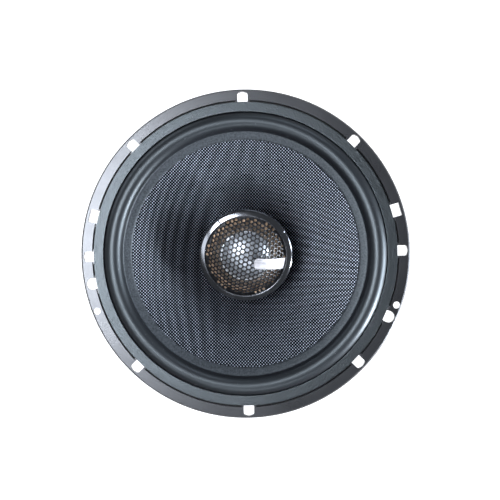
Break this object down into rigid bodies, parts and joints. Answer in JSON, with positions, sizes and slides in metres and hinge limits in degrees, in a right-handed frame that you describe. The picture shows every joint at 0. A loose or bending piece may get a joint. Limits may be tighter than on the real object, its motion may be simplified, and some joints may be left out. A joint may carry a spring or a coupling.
{
  "type": "coaxial car speaker",
  "caption": "Round flush-mount two-way car speaker with a woven cone, rubber roll surround and a swivelling dome tweeter under a domed mesh grille on a centre post.",
  "frame": {"origin": "centre of the flange's rear mounting plane, on the speaker's axis", "axes": "+Z along the speaker's axis towards the listener; +X to the right and +Y up in a front view, through the main slots"},
  "size_m": [0.165, 0.165, 0.0739],
  "materials": {
    "basket_black": "satin black powder paint, fine orange peel",
    "gasket_rubber": "matte, fine grain",
    "surround_rubber": "smooth, slightly shiny",
    "spider_cloth": "resin-dipped woven cloth",
    "plated_steel": "zinc plated, turned",
    "bare_steel": "turned",
    "ferrite": "sintered, ground faces",
    "zinc": "bright zinc",
    "phenolic": "laminated paper board",
    "tinned_brass": "tinned, bright",
    "brass": "polished",
    "capacitor_sleeve": "shrunk sleeve",
    "post_plastic": "moulded",
    "nylon": "natural nylon",
    "wire_insulation": "soft PVC",
    "tinsel": "braided copper",
    "woven_cone": "plain weave of silver and black yarns, resin bonded",
    "former_film": "polyimide film",
    "copper_winding": "enamelled wire",
    "solder": "solder under varnish",
    "yoke_plastic": "moulded",
    "head_plastic": "moulded",
    "felt": "felt",
    "neodymium": "nickel plated",
    "faceplate_tan": "bronze-tan anodised",
    "dome_ring": "glossy treated cloth",
    "bezel_black": "satin gloss",
    "grille_steel": "gunmetal, glossy",
    "badge_metal": "polished, blank",
    "dome_silver": "drawn foil, glossy"
  },
  "bodies": {
    "frame": {"basket": "basket_black", "front_gasket": "gasket_rubber", "surround": "surround_rubber", "spider": "spider_cloth", "top_plate": "plated_steel", "ferrite_magnet": "ferrite", "back_plate": "plated_steel", "pole_piece": "bare_steel", "basket_rivets": "zinc", "terminal_board": "phenolic", "board_rivet": "zinc", "positive_terminal": "tinned_brass", "negative_terminal": "tinned_brass", "terminal_rivets": "brass", "crossover_capacitor": "capacitor_sleeve", "capacitor_leads": "tinned_brass", "tweeter_post": "post_plastic", "post_washer": "zinc", "post_nut": "zinc", "friction_washer": "nylon", "swivel_rivet": "brass", "tweeter_feed_wires": "wire_insulation", "tinsel_lead_positive": "tinsel", "tinsel_lead_negative": "tinsel"},
    "cone_unit": {"cone": "woven_cone", "voice_coil_former": "former_film", "voice_coil_winding": "copper_winding", "lead_anchors": "solder"},
    "yoke": {"swivel_yoke": "yoke_plastic", "tilt_pins": "zinc", "tweeter_leads": "wire_insulation"},
    "tweeter_head": {"tweeter_cup": "head_plastic", "tweeter_felt": "felt", "tweeter_magnet_cup": "bare_steel", "tweeter_magnet": "neodymium", "tweeter_pole_plate": "bare_steel", "tweeter_faceplate": "faceplate_tan", "tweeter_dome_surround": "dome_ring", "tweeter_bezel": "bezel_black", "tweeter_grille": "grille_steel", "tweeter_badge": "badge_metal"},
    "tweeter_diaphragm": {"tweeter_dome": "dome_silver", "tweeter_coil": "copper_winding"}
  },
  "joints": [
    {"name": "cone_travel", "type": "slide", "parent": "frame", "child": "cone_unit", "axis": [0, 0, 1], "range_m": [-0.004, 0.004], "stiffness_N_per_m": 1500, "deforming": ["surround", "spider", "tinsel_lead_positive", "tinsel_lead_negative"]},
    {"name": "tweeter_pan", "type": "hinge", "parent": "frame", "child": "yoke", "pos_m": [0, 0, -0.0155], "axis": [0, 0, 1], "range_deg": [-90, 90]},
    {"name": "tweeter_tilt", "type": "hinge", "parent": "yoke", "child": "tweeter_head", "pos_m": [0, 0, -0.003], "axis": [1, 0, 0], "range_deg": [-28, 2]},
    {"name": "tweeter_dome_travel", "type": "slide", "parent": "tweeter_head", "child": "tweeter_diaphragm", "axis": [0, -0.225, 0.9744], "range_m": [-0.00035, 0.00035], "stiffness_N_per_m": 2000, "deforming": ["tweeter_dome_surround"]}
  ]
}
